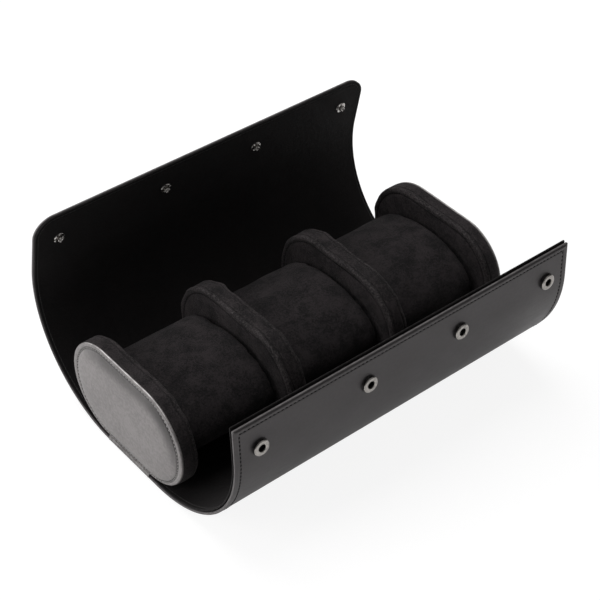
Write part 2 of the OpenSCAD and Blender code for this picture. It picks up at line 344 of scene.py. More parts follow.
# the barrels' metal is painted near black, as painted shade on the snaps' side walls
shadedBarrelMetal = makeMetal("shadedBarrelMetal", tone=(0.030, 0.028, 0.028), rough=0.42, wear=0.6)
studMetal = makeMetal("studMetal", tone=(0.5, 0.48, 0.46), rough=0.22, wear=0.75)
wireMetal = makeMetal("wireMetal", tone=(0.6, 0.59, 0.57), rough=0.25, wear=0.8)
darkThread = makeThread("darkThread", dark=(0.0012, 0.0011, 0.0012), light=(0.006, 0.0056, 0.006))
greyThread = makeThread("greyThread", dark=(0.018, 0.017, 0.017), light=(0.060, 0.056, 0.055))
paleThread = makeThread("paleThread", dark=(0.16, 0.155, 0.15), light=(0.44, 0.43, 0.42))
print("materials made")


stitch = {
    "pitch": 3.0, "fill": 0.78, "rise": 0.3, "sink": 0.55, "slant": 0.22, "tip": 0.2, "rings": 5, "sides": 6}


def lengthAlong(points):
    # distance along a path at each of its points
    return np.concatenate([[0], np.cumsum(np.linalg.norm(np.diff(points, axis=0), axis=1))])


def valuesAt(places, along, values):
    # what the columns of values come to at some distances along a path
    return np.stack([np.interp(places, along, column) for column in values.T], -1)


def stitchAlong(points, normals, radius, pitch=stitch["pitch"], fill=stitch["fill"]):
    # each stitch is a short bent capsule: its centre rises between two holes as rise * (1 - t * t),
    # its radius shrinks to the ends as sqrt(1 - t^4), and it lies a little across the line of the seam
    along = lengthAlong(points)
    count = max(1, round(along[-1] / pitch))
    t = np.linspace(-1, 1, stitch["rings"])
    middle = (np.arange(count) + 0.5) * along[-1] / count
    place = middle[:, None] + t * pitch * fill / 2
    centre, normal = valuesAt(place, along, points), valuesAt(place, along, normals)
    normal /= np.linalg.norm(normal, axis=-1, keepdims=True)
    forward = np.gradient(centre, axis=1)
    forward /= np.linalg.norm(forward, axis=-1, keepdims=True)
    across = np.cross(forward, normal)
    rise = stitch["rise"] * (1 - t ** 2) - radius * stitch["sink"]
    centre = centre + normal * rise[:, None] + across * (t * stitch["slant"])[:, None]
    girth = radius * np.maximum(np.sqrt(1 - t ** 4), stitch["tip"])
    phi = np.arange(stitch["sides"]) * tau / stitch["sides"]
    ring = across[:, :, None] * np.cos(phi)[:, None] + normal[:, :, None] * np.sin(phi)[:, None]
    ring = centre[:, :, None] + ring * girth[:, None, None]
    return ring.reshape(count, -1, 3)


def threadPiece(name, stitches):
    # many stitches in one mesh: each is a tube of rings with two quads over either end
    last = (stitch["rings"] - 1) * stitch["sides"]
    ends = np.array([[3, 2, 1, 0], [5, 4, 3, 0]])
    one = np.concatenate([gridFaces(stitch["rings"], stitch["sides"], closed=True), ends,
                          last + np.array([[0, 1, 2, 3], [0, 3, 4, 5]])])
    first = np.arange(len(stitches)) * stitch["rings"] * stitch["sides"]
    return makePiece(name, stitches, (one + first[:, None, None]).reshape(-1, 4), sharp=80)


# the wall: one sheet from the front flap's edge, under the discs, to the rear flap's edge
wallThick = boxOf("left_disc_band")[0][2]
halfLength = boxOf("base_leather")[1][0]
wallShape = {
    "front": {"flat": 30, "radius": 79, "angle": math.radians(94), "straight": 25.5, "corner": 1.2},
    "rear": {"flat": 21.5, "radius": 78, "angle": math.radians(100.5), "straight": 41.5, "corner": 15},
}
# the depths a ply lies between, and how far it is cut in at the (sides, ends)
plies = {"leather": {"low": 1.32, "high": wallThick, "inset": (0.0, 0.8), "outside": True},
         "lining": {"low": 0, "high": 1.26, "inset": (0.25, 0.0), "outside": False}}
# gap and skive hold how far the plies part and how much the leather thins, at the front and at the rear;
# each line is a bell at a (distance from the edge, width)
wallCut = {
    "round": 0.5, "gap": (0.7, 0.7), "skive": (0.0, 0.25), "gapDepth": 2.6, "gape": 0.5, "gapeDepth": 14,
    "seamLine": (4.2, 0.45), "insideLine": (2.2, 0.4), "creaseLine": (1.0, 0.26),
    "pillowLine": (2.5, 0.85), "highlightLine": (2.4, 1.0), "groove": 0.26, "crease": 0.42, "pillow": 0.3,
    "highlightAndWear": 0.92}
wallSeam = {"outer": {"radius": 0.42, "fill": 0.7}, "inner": {"radius": 0.2, "fill": 0.9}, "sunk": 0.8}
# columns are dense as far in as cornerTo; rows follow the outline over a flap's last endZone
wallGrid = {
    "columns": 96, "cornerTo": 17, "middleFrom": 18.5, "step": 1.3, "endZone": 20, "edgeZone": 7,
    "endRows": 12, "cutRow": 0.04}
edgeSteps = np.array([
    0, .1, .25, .45, .65, .8, .92, 1.04, 1.18, 1.35, 1.6, 1.85, 2.05, 2.2, 2.35, 2.6, 2.9, 3.2, 3.5, 3.75,
    3.95, 4.1, 4.25, 4.4, 4.6, 4.9, 5.4, 6.0])


def wallEnd(wall):
    return wall["flat"] + (wall["radius"] - wallThick) * wall["angle"] + wall["straight"]


frontEnd, rearEnd = -wallEnd(wallShape["front"]), wallEnd(wallShape["rear"])


def pick(run, key):
    return np.where(run < 0, wallShape["front"][key], wallShape["rear"][key])


def sheetPoint(x, run, depth):
    # run goes along the inner face, negative to the front: flat, an arc, then straight; depth goes outward
    x, run, depth = np.broadcast_arrays(x, run, depth)
    flat, inner = pick(run, "flat"), pick(run, "radius") - wallThick
    bend = inner * pick(run, "angle")
    angle = np.clip(np.abs(run) - flat, 0, bend) / inner
    past = np.maximum(np.abs(run) - flat - bend, 0)
    before = np.minimum(np.abs(run) - flat, 0)
    y = flat + before + (inner + depth) * np.sin(angle) + past * np.cos(angle)
    z = wallThick + inner - (inner + depth) * np.cos(angle) + past * np.sin(angle)
    return np.stack([x, np.where(run < 0, -y, y), z], -1)


def sheetNormal(x, run):
    return sheetPoint(x, run, 1.0) - sheetPoint(x, run, 0.0)


def cornerOf(corner, inset):
    return np.maximum(corner - sum(inset) / 2, 0.5)


def edgeDistance(x, run, inset):
    # distance inside a ply's outline with its rounded corners, and to its sides and ends alone
    corner = cornerOf(pick(run, "corner"), inset)
    toSide = halfLength - inset[0] - np.abs(x)
    toEnd = np.where(run < 0, run - frontEnd, rearEnd - run) - inset[1]
    inCorner = (toSide < corner) & (toEnd < corner)
    turning = corner - np.hypot(corner - toSide, corner - toEnd)
    return np.where(inCorner, turning, np.minimum(toSide, toEnd)), toSide, toEnd


def gaping(x, run):
    # the lining parts from the front flap's leather towards the left corner, as gape * (1 - d / gapeDepth)^2
    near = unit(1 - (run - frontEnd) / wallCut["gapeDepth"]) ** 2
    return wallCut["gape"] * near * unit(0.5 - x / halfLength / 2)


def sheetColumns(inset):
    # columns stand close at the edges and where the corners turn
    half = halfLength - inset[0]
    edge = np.concatenate([edgeSteps, np.arange(edgeSteps[-1] + 1, wallGrid["cornerTo"], 1.0)])
    middle = half - wallGrid["middleFrom"]
    inside = np.linspace(middle, -middle, wallGrid["columns"])
    return np.concatenate([-(half - edge), inside[::-1], (half - edge)[::-1]])


def sheetRows(fromRun, toRun, inset):
    # rows of one stretch, with one close to each cut; at a flap's end they close on the rounded outline
    x, step, near, zone = sheetColumns(inset), wallGrid["step"], wallGrid["cutRow"], wallGrid["endZone"]
    if frontEnd < fromRun and toRun < rearEnd:
        run = np.linspace(fromRun, toRun, max(4, round((toRun - fromRun) / step)) + 1)
        run = np.concatenate([run[:1], run[:1] + near, run[1:-1], run[-1:] - near, run[-1:]])
        return np.broadcast_arrays(x[None, :], run[:, None])
    wall, sign = (wallShape["front"], -1) if fromRun <= frontEnd else (wallShape["rear"], 1)
    end, start = wallEnd(wall) - inset[1], abs(toRun) if sign < 0 else abs(fromRun)
    corner, turn = cornerOf(wall["corner"], inset), end - zone
    over = np.maximum(np.abs(x) - (halfLength - inset[0] - corner), 0)
    top = end - corner + np.sqrt(np.maximum(corner ** 2 - over ** 2, 0))
    below = np.linspace(start, turn, round((turn - start) / step) + 1)
    below = np.concatenate([below[:1], below[:1] + near, below[1:]])
    fromEnd = np.linspace(zone, wallGrid["edgeZone"], wallGrid["endRows"])[1:]
    share = 1 - np.concatenate([fromEnd, edgeSteps[::-1]]) / zone
    lower = np.broadcast_to(below[:, None], (len(below), len(x)))
    upper = turn + (top[None] - turn) * share[:, None]
    run = sign * np.concatenate([lower, upper])
    if sign < 0:
        run = run[::-1]
    return np.broadcast_to(x[None], run.shape), run


def rounded(edge, reach, least):
    # the thickness at a sheet's edge grows from least to 1 as a quarter of an ellipse
    return least + (1 - least) * np.sqrt(1 - (1 - unit(edge / reach)) ** 2)


def dip(distance, middle, width):
    # a bell, 1 at its middle
    return np.exp(-((distance - middle) / width) ** 2)


def sheetShell(name, stretch, ply):
    # both faces close on the outline, and the plies part towards it as gap * (1 - e / gapDepth)^2;
    # a seam's groove dents each ply, and a crease at the flap's end the leather
    cut = wallCut
    x, run = sheetRows(stretch["from"], stretch["to"], ply["inset"])
    edge, toSide, toEnd = edgeDistance(x, run, ply["inset"])
    edge = np.maximum(edge, 0)
    near = unit(1 - edge / cut["gapDepth"]) ** 2
    parting, skive = (np.where(run < 0, *wallCut[key]) * near for key in ("gap", "skive"))
    low, high = ply["low"], ply["high"]
    low, high = (low + parting, high - skive) if ply["outside"] else (low, high - parting * 0.3)
    half = (high - low) / 2 * rounded(edge, cut["round"], 0.2)
    middle = (high + low) / 2
    # rim is a painted highlight along the ply's rounded edge
    rim = unit(1 - edge / (cut["round"] * 0.9))
    if ply["outside"]:
        atEnd = unit((toSide - toEnd) / 3 + 0.5)
        seam, crease = dip(edge, *cut["seamLine"]), dip(edge, *cut["creaseLine"]) * atEnd
        swell = cut["pillow"] * dip(edge, *cut["pillowLine"]) * (0.3 + 0.7 * atEnd)
        top = middle + half - cut["groove"] * seam - cut["crease"] * crease + swell
        bottom = middle - half
        # fold paints shade into the seam's groove and the crease
        fold = 0.35 * seam + crease
        # rim adds a painted highlight band between the crease and the seam
        rim = np.maximum(rim, cut["highlightAndWear"] * dip(edge, *cut["highlightLine"]) * (0.2 + 0.8 * atEnd))
    else:
        middle = middle - gaping(x, run)
        top = middle + half
        bottom = middle - half + cut["groove"] * dip(edge, *cut["insideLine"])
        fold = 0.7 * dip(edge, cut["insideLine"][0], 0.3)
        # rim paints a weaker highlight on the lining's edge
        rim = rim * 0.5
    return shellPiece(name, sheetPoint(x, run, top), sheetPoint(x, run, bottom), (x, run), rim, fold)


def runOf(joint):
    # where a hinge's pivot lies along the inner face
    y, z = joint["pos_m"][1] / mm, joint["pos_m"][2] / mm
    wall = wallShape["front" if y < 0 else "rear"]
    flat, inner = wall["flat"], wall["radius"] - wallThick
    turned = math.atan2(abs(y) - flat, wallThick + inner - z) if abs(y) > flat else 0
    return math.copysign(flat + inner * turned, y)


# half the length of the base stretch, and half the reach taken about a hinge
bendReach = {"base": 15.0, "first": 8.5, "others": 12.5}
hinges = {joint["name"]: joint for joint in frame["joints"] if joint["type"] == "hinge"}
stretches = [{"name": "base", "from": -bendReach["base"], "to": bendReach["base"], "joint": None}]
for side, sign, end in (("front", -1, frontEnd), ("rear", 1, rearEnd)):
    runs = [sign * runOf(hinges[f"{side}_hinge_{k}"]) for k in range(1, 5)]
    cuts = [bendReach["base"]] + [(a + b) / 2 for a, b in zip(runs, runs[1:])] + [abs(end)]
    for k in range(4):
        a, b = sorted((sign * cuts[k], sign * cuts[k + 1]))
        stretches.append({"name": f"{side}_{k + 1}", "from": a, "to": b, "hinge": sign * runs[k],
                          "joint": hinges[f"{side}_hinge_{k + 1}"],
                          "reach": bendReach["first" if k == 0 else "others"]})


def bendOrRide(piece, stretch):
    # a stretch without a hinge rides on the root body; a stretch over a hinge stays where it is made, on no
    # body
    joint = stretch["joint"]
    if joint is None:
        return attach(piece, "root")
    outward = math.copysign(stretch["reach"], stretch["hinge"])
    reach = np.array([stretch["hinge"] - outward, stretch["hinge"] + outward])
    start, end = sheetPoint(0, reach, wallThick / 2) * mm
    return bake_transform(piece)


def outlinePath(margin, inset, step=0.25):
    # a ply's outline taken in by a margin, once round
    turn = np.linspace(0, math.pi / 2, 24)
    legs = []
    for sign, end, wall in ((-1, -frontEnd, wallShape["front"]), (1, rearEnd, wallShape["rear"])):
        corner = cornerOf(wall["corner"], inset)
        radius = max(corner - margin, 0.8)
        gap = max(corner, margin + radius)
        run = end - inset[1] - gap + radius * np.sin(turn)
        x = halfLength - inset[0] - gap + radius * np.cos(turn)
        legs.append(np.stack([sign * x, sign * run], -1))
        legs.append(np.stack([-sign * x, sign * run], -1)[::-1])
    path = np.concatenate(legs + [legs[0][:1]])
    along = lengthAlong(path)
    return valuesAt(np.arange(0, along[-1], step), along, path).T


def sheetSeam(side, layer, line, thread):
    # stitches once round the sheet, with the place of each along the run
    x, run = outlinePath(wallCut[line][0], plies[layer]["inset"])
    sunk = wallCut["groove"] * wallSeam["sunk"]
    depth, out = (wallThick - sunk, 1) if side == "outer" else (sunk - gaping(x, run), -1)
    points = sheetPoint(x, run, depth)
    stitches = stitchAlong(points, out * sheetNormal(x, run), **wallSeam[side])
    along, count = lengthAlong(points), len(stitches)
    return side, stitches, np.interp((np.arange(count) + 0.5) * along[-1] / count, along, run), thread


def makeWall():
    # each stretch has its leather, its lining and the stitches that lie on it
    seams = [sheetSeam("outer", "leather", "seamLine", darkThread),
             sheetSeam("inner", "lining", "insideLine", greyThread)]
    for stretch in stretches:
        nodes = [stretch["name"].replace("_", f"_{layer}_") if stretch["joint"] else f"base_{layer}"
                 for layer in ("leather", "board", "lining")]
        cover = sheetShell(f"cover_{stretch['name']}", stretch, plies["leather"])
        lining = sheetShell(f"inside_{stretch['name']}", stretch, plies["lining"])
        pieces = [dress(cover, wallLeather, replaces=nodes[:2]),
                  dress(lining, liningSuede, replaces=nodes[2:])]
        for side, stitches, at, thread in seams:
            chosen = stitches[(at >= stretch["from"]) & (at < stretch["to"])]
            pieces.append(dress(threadPiece(f"{side}_seam_{stretch['name']}", chosen), thread))
        for piece in pieces:
            bendOrRide(piece, stretch)


makeWall()
print("wall made in", len(stretches), "stretches")


# discs and dividers: a profile carried round an oval of two half circles and two straights
discLow, discHigh = boxOf("left_disc_face", "left_disc_inner")
ovalRadius = (discHigh[2] - discLow[2]) / 2
ovalFlat = (discHigh[1] - discLow[1]) / 2 - ovalRadius
ovalZ = (discHigh[2] + discLow[2]) / 2
discThick = discHigh[0] - discLow[0]
padShape = {
    "arcSteps": 54, "flatSteps": 20, "pull": 1.8, "pullDown": 2.0, "lift": 1.2, "shade": 0.9,
    "discSoft": 0.2, "dividerSoft": 0.28, "faceSoft": 0.05}
padSeam = {
    "pitch": 2.7, "radius": 0.24, "faceRadius": 0.36, "faceAt": 4.7, "sideAt": 4.05, "faceDeep": 0.36,
    "sideDeep": 0.78, "innerDeep": 11.92}


def ovalCourse():
    # points on the middle line and the outward directions, once round
    half = padShape["arcSteps"]
    turn = np.arange(half) / half * math.pi - math.pi / 2
    across = np.arange(padShape["flatSteps"]) / padShape["flatSteps"] * 2 * ovalFlat
    right = np.stack([np.full(half, ovalFlat), np.cos(turn), np.sin(turn)], -1)
    top = np.stack([ovalFlat - across, np.zeros(len(across)), np.ones(len(across))], -1)
    course = np.concatenate([right, top])
    return np.concatenate([course, course * (-1, -1, -1)])


def ripple(u, v, seed, count=6):
    # a sum of a few long waves with seeded phases, between about -1 and 1
    luck = np.random.default_rng(seed)
    total = 0
    for _ in range(count):
        fu, fv, phase = luck.integers(1, 9), luck.uniform(0, 5), luck.uniform(0, tau)
        total = total + np.sin(fu * u * tau + fv * v + phase) / count ** 0.5
    return total


def pulled(margin, course):
    # the seam is pulled towards the upper and lower edges, as margin - pull * up^2 * bell(margin - faceAt),
    # and the border's edge stands in a little where the tab passes under it
    up, down = unit(course[:, 2]) ** 2, unit(-course[:, 2]) ** 2
    start, bell = unit((margin - 0.6) / 1.5), dip(margin, padSeam["faceAt"], 2.6)
    moved = margin - (padShape["pull"] * up + padShape["pullDown"] * down) * start * bell
    return moved + padShape["lift"] * down * unit(1 - margin / 4)


def ovalPoint(course, x, margin):
    # points at a margin inside the oval's rim
    radius = ovalRadius - margin
    y, z = course[:, 0] + radius * course[:, 1], ovalZ + radius * course[:, 2]
    return np.stack(np.broadcast_arrays(x, y, z), -1)


def ovalPiece(name, profile, place, folds, ridges, seed, soft, face=False):
    # profile holds (margin, x) from one middle line round to the other, place turns x into the case's frame,
    # folds and ridges give the lines of painted shade and painted highlight; long waves make the padding a
    # little uneven
    course = ovalCourse()
    profile = np.asarray(profile, float)
    margin, x = profile[:, :1], profile[:, 1:]
    fold, rim = (np.broadcast_to(lines(margin, x), (len(profile), len(course))) for lines in (folds, ridges))
    if face:
        # painted shade: the hollow inside the seam is painted darkest along the upper front
        towards = unit(course[:, 2] * 0.85 - course[:, 1] * 0.5)
        inside = margin - padSeam["faceAt"]
        fold = fold + padShape["shade"] * towards ** 1.5 * dip(inside, 2, 6) * (inside > 0.5)
        # painted highlight: the face's light lines are brighter on its upper side
        rim = rim * (0.25 + 0.75 * unit(course[:, 2]))
    u = np.arange(len(course))[None] / len(course)
    fade = unit(margin / 3 + 0.25) * unit((ovalRadius - margin) / 8)
    x = x + soft * ripple(u, margin * 0.12 + x * 0.2, seed) * fade
    x = x + soft * 1.6 * ripple(u * 3, 0 * x, seed + 5) * (margin < 2) * (np.abs(x) > 3) * np.sign(x)
    margin = margin + soft * (0.5 + 0.5 * ripple(u, x * 0.15, seed + 1)) * (margin < 6)
    points = ovalPoint(course, place(x), pulled(margin, course) if face else margin)
    faces, marks = gridFaces(*fold.shape, closed=True), {"rim": rim, "fold": unit(fold)}
    return makePiece(name, points, faces, points[..., [2, 1]], marks, poles=True)


def ovalSeam(name, margin, x, towards, thread, face=False):
    # stitches round the oval at a margin, on the side that looks towards +x or -x
    course = ovalCourse()
    course = np.concatenate([course, course[:1]])
    points = ovalPoint(course, x, pulled(margin, course) if face else margin)
    along = lengthAlong(points)
    points = valuesAt(np.linspace(0, along[-1], 1200), along, points)
    normals = np.tile([float(towards), 0, 0], (len(points), 1))
    thick = padSeam["faceRadius" if face else "radius"]
    seam = threadPiece(name, stitchAlong(points, normals, thick, padSeam["pitch"]))
    dress(seam, thread, "root")


# (margin, depth from the outermost face): a rolled border, the sewn groove, and the padded face inside it
discFace = [
    (0.5, 1.62), (0.38, 1.4), (0.35, 1.1), (0.38, 0.75), (0.5, 0.42), (0.74, 0.18), (1.1, 0.04),
    (1.7, -0.04), (2.5, -0.04), (3.2, 0.02), (3.7, 0.12), (4.0, 0.26), (4.2, 0.42), (4.45, 0.6),
    (4.65, 0.68), (4.85, 0.68), (5.05, 0.55)]
for share in (0.03, 0.08, 0.15, 0.24, 0.36, 0.5, 0.68, 0.88, 1):
    # the padded face swells from its seam as a quarter of an ellipse
    discFace.append((5.1 + 11 * share, 0.5 - 1.95 * math.sqrt(1 - (1 - share) ** 2)))
discBack = [(ovalRadius, 1.62), (20, 1.62)]
discFace = [*discBack, *discFace, (20, -1.5), (26, -1.54), (31, -1.56), (ovalRadius, -1.56)]
# the suede behind it, round to the inner side: a lip, the band, a groove, a piped corner and a sewn border
discPad = [
    (1.3, 1.74), (0.8, 1.78), (0.4, 1.95), (0.14, 2.3), (0.02, 2.9), (0.0, 4.0), (0.0, 6.0), (0.02, 8.2),
    (0.08, 8.8), (0.28, 9.25), (0.46, 9.5), (0.3, 9.75), (0.07, 10.1), (0.0, 10.5), (0.05, 11.0),
    (0.26, 11.6), (0.65, 12.1), (1.2, 12.45), (2.0, 12.66), (2.8, 12.66), (3.35, 12.42), (3.75, 12.05),
    (4.05, 11.85), (4.35, 12.05), (4.9, 12.4), (5.8, 12.6), (8, 12.68), (18, 12.66), (30, 12.62)]
dividerFrom = 8.4  # a divider's sides have the disc's profile from this depth on


def padShade(margin, depth):
    # painted shade where the rim's groove and the border's seam are sewn down
    seam = dip(margin, padSeam["sideAt"], 0.35) * (depth > 11)
    return unit(0.4 * dip(depth, 9.5, 0.35) * (margin < 1) + 0.6 * seam)


def padHighlight(margin, depth):
    # painted highlight along the piped corner, beside the groove and at the lip
    corner = dip(depth, 11.6, 1.3) * (margin < 3.4)
    return unit(corner + 0.4 * dip(depth, 8.3, 0.7) + 0.5 * dip(depth, 2.1, 0.5))


def faceShade(margin, depth):
    # painted shade on both sides of the face's seam
    seam = dip(margin, padSeam["faceAt"] - 0.5, 0.3) + 0.9 * dip(margin, padSeam["faceAt"] + 0.4, 0.3)
    return seam * (depth < 1.3)


def faceHighlight(margin, depth):
    # painted highlight along the border's edge and where the padding starts to swell
    swell = dip(margin, padSeam["faceAt"] + 1.2, 0.4)
    return (dip(depth, 0.8, 0.5) * (margin < 0.8) + 0.7 * swell) * (depth < 1.5)


def makeDisc(end, sign, seed):
    def place(depth):
        return sign * (-discLow[0] - depth)

    soft = padShape["faceSoft"]
    face = ovalPiece(f"{end}_disc_leather", discFace, place, faceShade, faceHighlight, seed, soft, True)
    dress(face, litDiscLeather, "root", [f"{end}_disc_face"])
    closed = [(ovalRadius, 1.74), (20, 1.74), *discPad, (ovalRadius, 12.6)]
    pad = ovalPiece(f"{end}_disc_suede", closed, place, padShade, padHighlight, seed + 2, padShape["discSoft"])
    dress(pad, suede, "root", [f"{end}_disc_{part}" for part in ("band", "inner", "core")])
    ovalSeam(f"{end}_disc_seam", padSeam["faceAt"], place(padSeam["faceDeep"]), sign, paleThread, True)
    ovalSeam(f"{end}_disc_inner_seam", padSeam["sideAt"], place(padSeam["innerDeep"]), -sign, darkThread)


def makeDivider(k):
    low, high = boxOf(f"divider_{k}_sides")
    half, centre = (high[0] - low[0]) / 2, (high[0] + low[0]) / 2
    shift = discThick - half
    side = [(margin, depth - shift) for margin, depth in discPad if depth >= dividerFrom]
    right = [(ovalRadius, half - 0.1)] + side[::-1] + [(0.0, 0.8)]
    left = [(margin, -x) for margin, x in right[::-1]]
    pad = ovalPiece(f"divider_{k}_pad", right + left, lambda x: centre + x,
                    lambda margin, x: padShade(margin, np.abs(x) + shift),
                    lambda margin, x: padHighlight(margin, np.abs(x) + shift), 20 + k, padShape["dividerSoft"])
    dress(pad, suede, "root", [f"divider_{k}_{part}" for part in ("core", "band", "sides")])
    for name, sign in (("left", -1), ("right", 1)):
        x = centre + sign * (half - padSeam["sideDeep"])
        ovalSeam(f"divider_{k}_{name}_seam", padSeam["sideAt"], x, sign, darkThread)


for end, sign, seed in (("left", -1, 11), ("right", 1, 15)):
    makeDisc(end, sign, seed)
for k in (1, 2):
    makeDivider(k)
print("discs and dividers made")


# cushions: a roll of foam in a suede sleeve, puffed up by a short cloth run
cushionShape = {
    "around": 132, "along": 40, "shoulder": 3.6, "slack": 0.3, "crown": 0.3, "waves": 0.3, "dome": 0.5,
    "voxel": 4.0, "pressure": 4.0, "frames": 20, "cap": 1.4, "proud": 0.7, "side": 0.15, "fill": 0.85}


def rollPoints(low, high, seed):
    # an elliptic roll with round shoulders and domed ends, slack for the cloth run and long waves along it
    centre, half, shape = (low + high) / 2, (high - low) / 2, cushionShape
    shoulder, dome, radius = shape["shoulder"], shape["dome"], (high[2] - low[2]) / 2
    inward, bow = np.linspace(1, 0.12, 12), np.linspace(0.06, math.pi / 2, 9)
    capIn = shoulder + (radius - shoulder) * inward
    capX = half[0] - dome - dome * (1 - inward) ** 2
    roundIn, roundX = shoulder * (1 - np.sin(bow)), half[0] - 2 * dome - shoulder * 0.8 * (1 - np.cos(bow))
    bodyX = np.linspace(roundX[-1], -roundX[-1], shape["along"])[1:-1]
    margin = np.concatenate([capIn, roundIn, np.zeros(len(bodyX)), roundIn[::-1], capIn[::-1]])[:, None]
    x = np.concatenate([capX, roundX, bodyX, -roundX[::-1], -capX[::-1]])[:, None]
    turn = np.arange(shape["around"])[None] / shape["around"] * tau
    size = np.maximum(radius - margin, 0) / radius
    swell = shape["crown"] * (1 - (x / half[0]) ** 2) - shape["crown"] - shape["slack"]
    waves = shape["waves"] * ripple(turn / tau, x * 0.06, seed, 8)
    swell = swell + waves * unit((radius - margin) / 6)
    y = centre[1] + (half[1] + swell) * size * np.cos(turn)
    z = centre[2] + (half[2] + swell) * size * np.sin(turn)
    return np.stack(np.broadcast_arrays(centre[0] + x, y, z), -1)


def coordinates(mesh):
    found = np.empty(len(mesh.vertices) * 3, np.float32)
    mesh.vertices.foreach_get("co", found)
    return found.reshape(-1, 3).astype(float)


def bakedMesh(piece):
    graph = bpy.context.evaluated_depsgraph_get()
    return bpy.data.meshes.new_from_object(piece.evaluated_get(graph))


def puffUp(piece, low, high):
    # voxel remesh, a pressure run without gravity, the move capped, then kept inside the roll's own space
    shape, scene = cushionShape, bpy.context.scene
    remesh = piece.modifiers.new("remesh", "REMESH")
    remesh.mode, remesh.voxel_size = "VOXEL", shape["voxel"] * mm
    even = bakedMesh(piece)
    piece.modifiers.clear()
    piece.data = even
    cloth = piece.modifiers.new("cloth", "CLOTH")
    cloth.settings.quality = 6
    cloth.settings.use_pressure = True
    cloth.settings.uniform_pressure_force = shape["pressure"]
    cloth.settings.effector_weights.gravity = 0
    cloth.point_cache.frame_start, cloth.point_cache.frame_end = 1, shape["frames"]
    before = coordinates(even)
    for step in range(1, shape["frames"] + 1):
        scene.frame_set(step)
    puffed = bakedMesh(piece)
    scene.frame_set(1)
    piece.modifiers.clear()
    move = coordinates(puffed) - before
    reach = np.linalg.norm(move, axis=1, keepdims=True) / mm
    after = (before + move * np.minimum(1, shape["cap"] / np.maximum(reach, 1e-6))) / mm
    centre, half = (low + high) / 2, (high - low) / 2
    local = after - centre
    local[:, 0] = np.clip(local[:, 0], -(half[0] - shape["side"]), half[0] - shape["side"])
    outer = np.hypot(local[:, 1] / (half[1] + shape["proud"]), local[:, 2] / (half[2] + shape["proud"]))
    local[:, 1:] /= np.maximum(outer, 1)[:, None]
    even.vertices.foreach_set("co", ((local + centre) * mm).astype(np.float32).ravel())
    even.update()
    even.shade_smooth()
    finer = piece.modifiers.new("round", "SUBSURF")
    finer.levels = finer.render_levels = 1


def makeCushion(k):
    low, high = boxOf(f"cushion_{k}_sleeve", f"cushion_{k}_ends")
    points = rollPoints(low, high, 30 + k)
    piece = makePiece(f"cushion_{k}", points, gridFaces(*points.shape[:2], closed=True), poles=True)
    puffUp(piece, low, high)
    dress(piece, cushionSuede, f"cushion_{k}",
          [f"cushion_{k}_{part}" for part in ("foam", "sleeve", "ends")])


for k in (1, 2, 3):
    makeCushion(k)
print("cushions made")


# snaps: profiles turned about an axis that stands on the wall
snapShape = {"sides": 48, "places": (-115, -33.5, 40.5, 115), "fromEdge": {"front": 22, "rear": 20.7}}


def lathe(name, profile, places, material, body, node, lobes=None):
    # profile holds (radius, height); lobes cuts n slits into the part above a height as sin(n * angle / 2)^6
    profile = np.asarray(profile, float)
    phi = np.arange(snapShape["sides"]) / snapShape["sides"] * tau
    radius, height = (np.repeat(profile[:, k:k + 1], len(phi), 1) for k in (0, 1))
    if lobes:
        wave = (0.5 - 0.5 * np.cos(lobes["count"] * phi)) ** 3 * (height > lobes["above"])
        radius, height = radius * (1 - lobes["amount"] * wave), height - lobes["amount"] * 3.2 * wave
    local = np.stack([radius * np.cos(phi), radius * np.sin(phi), height], -1).reshape(-1, 3)
    one = gridFaces(*radius.shape, closed=True)
    faces = np.concatenate([one + len(local) * n for n in range(len(places))])
    points = np.concatenate([origin + local @ axes for origin, axes in places])
    piece = makePiece(name, points, faces, poles=True, sharp=40)
    return dress(piece, material, body, [node])


def snapPlaces(run, depth, flip):
    # one frame per snap: its last axis stands out of the wall, or into the case with flip
    along, found = np.array([1.0, 0, 0]), []
    for x in snapShape["places"]:
        outward = sheetNormal(x, run) * (-1 if flip else 1)
        found.append((sheetPoint(x, run, depth), np.stack([along, np.cross(outward, along), outward])))
    return found


# (radius, height) above the wall's face
barrelProfile = [
    (0, 0.05), (2.5, 0.05), (3.0, 0.12), (3.15, 0.4), (3.15, 1.5), (3.5, 1.62), (4.85, 1.62), (5.05, 1.35),
    (5.1, 0.9), (5.25, 0.5), (5.6, 0.32), (5.75, 0.15), (5.7, -0.05), (5.5, -0.1), (0, -0.1)]
ringProfile = [
    (2.6, 1.5), (2.48, 1.8), (2.55, 2.1), (2.85, 2.32), (3.4, 2.4), (4.2, 2.39), (4.8, 2.28), (5.2, 2.06),
    (5.38, 1.78), (5.3, 1.55), (4.6, 1.45), (2.6, 1.5)]
eyeletProfile = [
    (0, 0.1), (0.9, 0.1), (1.2, 0.32), (1.5, 0.5), (2.2, 0.58), (3.0, 0.5), (3.7, 0.3), (4.0, 0.08),
    (3.9, -0.12), (0, -0.12)]
flangeProfile = [
    (0, 0.2), (2.1, 0.2), (2.25, 0.55), (2.6, 0.8), (3.1, 0.78), (3.6, 0.55), (3.95, 0.2), (4.0, 0.0),
    (3.9, -0.1), (0, -0.1)]
postProfile = [
    (0, 1.5), (0.35, 1.6), (0.6, 2.1), (0.95, 2.5), (1.4, 2.6), (1.8, 2.42), (2.02, 2.1), (1.98, 1.7),
    (1.82, 1.3), (1.8, 0.22), (0, 0.22)]
capProfile = [
    (0, 1.6), (1.5, 1.5), (3.0, 1.22), (4.3, 0.8), (5.2, 0.42), (5.75, 0.18), (6.0, 0.0), (5.9, -0.1),
    (0, -0.1)]
flangeLobes = {"count": 5, "above": 0.3, "amount": 0.12}
postLobes = {"count": 4, "above": 1.72, "amount": 0.22}
frontRun = frontEnd + snapShape["fromEdge"]["front"]
rearRun = rearEnd - snapShape["fromEdge"]["rear"]
